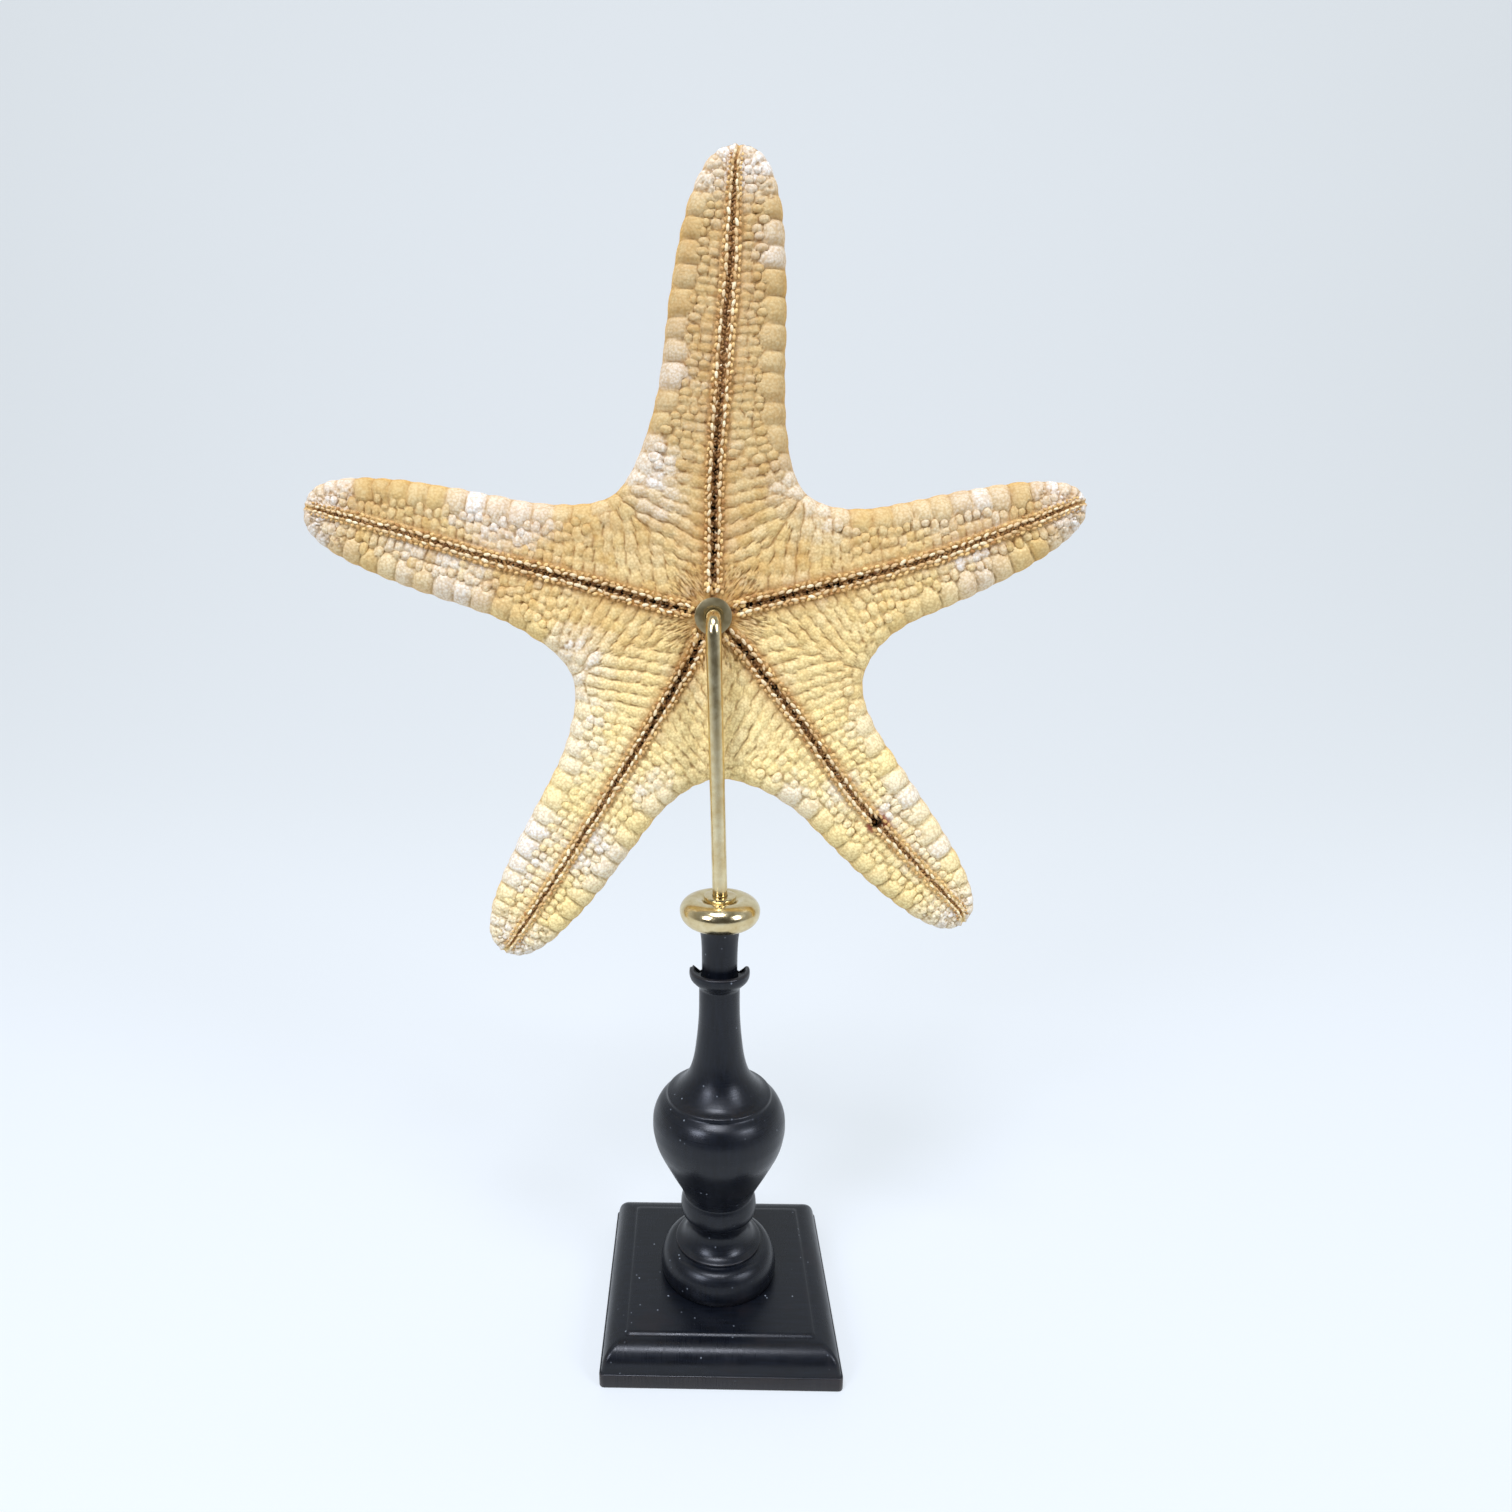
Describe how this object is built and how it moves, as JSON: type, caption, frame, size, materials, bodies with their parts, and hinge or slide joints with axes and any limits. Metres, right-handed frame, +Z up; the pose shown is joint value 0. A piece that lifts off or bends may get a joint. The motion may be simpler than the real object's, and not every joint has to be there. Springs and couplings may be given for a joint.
{
  "type": "mounted dried starfish",
  "caption": "Dried starfish shown upright with its underside to the front, on a bent brass rod over a turned black wooden column and square moulded plinth.",
  "frame": {"origin": "middle of the plinth's flat underside", "axes": "+Z up the column, -Y to the front, where the starfish shows its underside, +X to the viewer's right"},
  "size_m": [0.2512, 0.08, 0.3883],
  "materials": {
    "ebonised_wood": "satin",
    "brass": "polished",
    "dried_starfish": "matte"
  },
  "bodies": {
    "root": {"plinth": "ebonised_wood", "turned_column": "ebonised_wood", "brass_knob": "brass", "knob_washer": "brass", "brass_rod": "brass", "mouth_washer": "brass", "starfish": "dried_starfish"}
  },
  "joints": []
}
